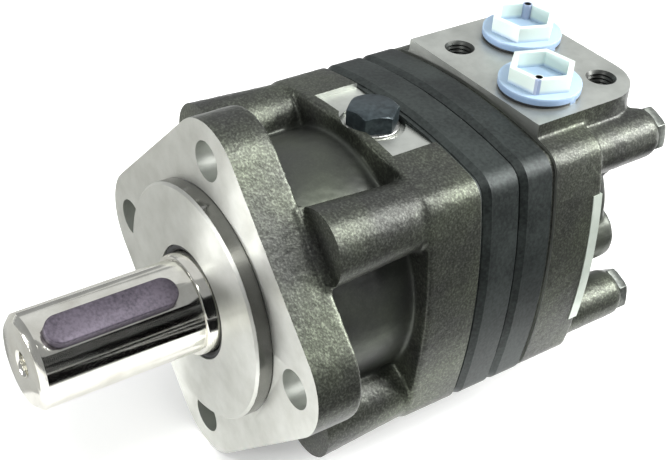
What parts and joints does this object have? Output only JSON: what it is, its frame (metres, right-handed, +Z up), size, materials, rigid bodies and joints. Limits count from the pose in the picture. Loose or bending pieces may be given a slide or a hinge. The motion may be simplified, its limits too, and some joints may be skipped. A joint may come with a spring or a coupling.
{
  "type": "orbital hydraulic motor",
  "caption": "Orbital hydraulic motor with a four-hole square flange, round pilot, keyed shaft, stacked gear and channel plates, and side ports closed by caps.",
  "frame": {"origin": "centre of the flange's mounting face, on the shaft axis", "axes": "-Y along the output shaft, +Z up towards the ports, +X to the right seen from the shaft end"},
  "size_m": [0.1326, 0.2274, 0.1326],
  "materials": {
    "cast_iron": "sand cast, machined on the faces",
    "ground_plate": "dark phosphated steel plates",
    "turned_steel": "turned and ground",
    "key_steel": "dark drawn key steel",
    "bearing_steel": "ground and lapped",
    "cage_brass": "pressed brass",
    "seal_rubber": "black nitrile",
    "screw_steel": "black oxide",
    "plug_steel": "black",
    "washer_steel": "bright",
    "cap_plastic": "milky white polyethylene"
  },
  "bodies": {
    "housing": {"front_housing": "cast_iron", "dust_seal": "seal_rubber", "shaft_seal": "seal_rubber", "front_bearing_cup": "bearing_steel", "rear_bearing_cup": "bearing_steel", "wear_plate": "ground_plate", "housing_o_ring": "seal_rubber", "gear_ring": "ground_plate", "ring_o_ring": "seal_rubber", "channel_plate": "ground_plate", "plate_o_ring": "seal_rubber", "balance_plate": "bearing_steel", "balance_o_ring": "seal_rubber", "balance_spring": "turned_steel", "balance_pins": "turned_steel", "valve_housing": "cast_iron", "check_springs": "turned_steel", "check_plugs": "turned_steel", "body_screws": "screw_steel", "drain_plug": "plug_steel", "drain_washer": "washer_steel", "port_cap_front": "cap_plastic", "port_cap_rear": "cap_plastic", "cap_ring_front": "seal_rubber", "cap_ring_rear": "seal_rubber"},
    "shaft": {"output_shaft": "turned_steel", "shaft_key": "key_steel", "front_bearing_cone": "bearing_steel", "rear_bearing_cone": "bearing_steel"},
    "front_cage": {"front_bearing_rollers": "bearing_steel", "front_bearing_cage": "cage_brass"},
    "rear_cage": {"rear_bearing_rollers": "bearing_steel", "rear_bearing_cage": "cage_brass"},
    "orbit": {"drive_spacer": "turned_steel"},
    "rotor": {"gear_rotor": "bearing_steel"},
    "cardan": {"cardan_shaft": "turned_steel"},
    "valve_drive": {"valve_drive": "turned_steel"},
    "disc_valve": {"disc_valve": "bearing_steel"},
    "ball_left": {"check_ball_left": "bearing_steel"},
    "ball_right": {"check_ball_right": "bearing_steel"},
    "roller_1": {"ring_roller_1": "bearing_steel"},
    "roller_2": {"ring_roller_2": "bearing_steel"},
    "roller_3": {"ring_roller_3": "bearing_steel"},
    "roller_4": {"ring_roller_4": "bearing_steel"},
    "roller_5": {"ring_roller_5": "bearing_steel"},
    "roller_6": {"ring_roller_6": "bearing_steel"},
    "roller_7": {"ring_roller_7": "bearing_steel"}
  },
  "joints": [
    {"name": "shaft_spin", "type": "hinge", "parent": "housing", "child": "shaft", "pos_m": [0, -0.03, 0], "axis": [0, 1, 0], "continuous": true},
    {"name": "front_cage_spin", "type": "hinge", "parent": "housing", "child": "front_cage", "pos_m": [0, 0.018, 0], "axis": [0, 1, 0], "continuous": true},
    {"name": "rear_cage_spin", "type": "hinge", "parent": "housing", "child": "rear_cage", "pos_m": [0, 0.06, 0], "axis": [0, 1, 0], "continuous": true},
    {"name": "rotor_orbit", "type": "hinge", "parent": "housing", "child": "orbit", "pos_m": [0, 0.081, 0], "axis": [0, 1, 0], "continuous": true},
    {"name": "rotor_spin", "type": "hinge", "parent": "orbit", "child": "rotor", "pos_m": [0.003, 0.081, 0], "axis": [0, 1, 0], "continuous": true},
    {"name": "cardan_spin", "type": "hinge", "parent": "orbit", "child": "cardan", "pos_m": [0, 0.044, 0], "axis": [0.0889, 0.996, 0], "continuous": true},
    {"name": "valve_drive_spin", "type": "hinge", "parent": "orbit", "child": "valve_drive", "pos_m": [0, 0.11, 0], "axis": [-0.1251, 0.9921, 0], "continuous": true},
    {"name": "disc_valve_spin", "type": "hinge", "parent": "housing", "child": "disc_valve", "pos_m": [0, 0.11, 0], "axis": [0, 1, 0], "continuous": true},
    {"name": "left_ball_lift", "type": "slide", "parent": "housing", "child": "ball_left", "axis": [0, 1, 0], "range_m": [0, 0.0008]},
    {"name": "right_ball_lift", "type": "slide", "parent": "housing", "child": "ball_right", "axis": [0, 1, 0], "range_m": [0, 0.0008]},
    {"name": "roller_1_spin", "type": "hinge", "parent": "housing", "child": "roller_1", "pos_m": [0.034, 0.081, 0], "axis": [0, 1, 0], "continuous": true},
    {"name": "roller_2_spin", "type": "hinge", "parent": "housing", "child": "roller_2", "pos_m": [0.0212, 0.081, -0.02658], "axis": [0, 1, 0], "continuous": true},
    {"name": "roller_3_spin", "type": "hinge", "parent": "housing", "child": "roller_3", "pos_m": [-0.00757, 0.081, -0.03315], "axis": [0, 1, 0], "continuous": true},
    {"name": "roller_4_spin", "type": "hinge", "parent": "housing", "child": "roller_4", "pos_m": [-0.03063, 0.081, -0.01475], "axis": [0, 1, 0], "continuous": true},
    {"name": "roller_5_spin", "type": "hinge", "parent": "housing", "child": "roller_5", "pos_m": [-0.03063, 0.081, 0.01475], "axis": [0, 1, 0], "continuous": true},
    {"name": "roller_6_spin", "type": "hinge", "parent": "housing", "child": "roller_6", "pos_m": [-0.00757, 0.081, 0.03315], "axis": [0, 1, 0], "continuous": true},
    {"name": "roller_7_spin", "type": "hinge", "parent": "housing", "child": "roller_7", "pos_m": [0.0212, 0.081, 0.02658], "axis": [0, 1, 0], "continuous": true}
  ],
  "couplings": [
    {"joint": "front_cage_spin", "follows": "shaft_spin", "ratio": 0.4347},
    {"joint": "rear_cage_spin", "follows": "shaft_spin", "ratio": 0.44655},
    {"joint": "rotor_orbit", "follows": "shaft_spin", "ratio": -6},
    {"joint": "rotor_spin", "follows": "shaft_spin", "ratio": 7},
    {"joint": "cardan_spin", "follows": "shaft_spin", "ratio": 7},
    {"joint": "valve_drive_spin", "follows": "shaft_spin", "ratio": 7},
    {"joint": "disc_valve_spin", "follows": "shaft_spin", "ratio": 1}
  ]
}
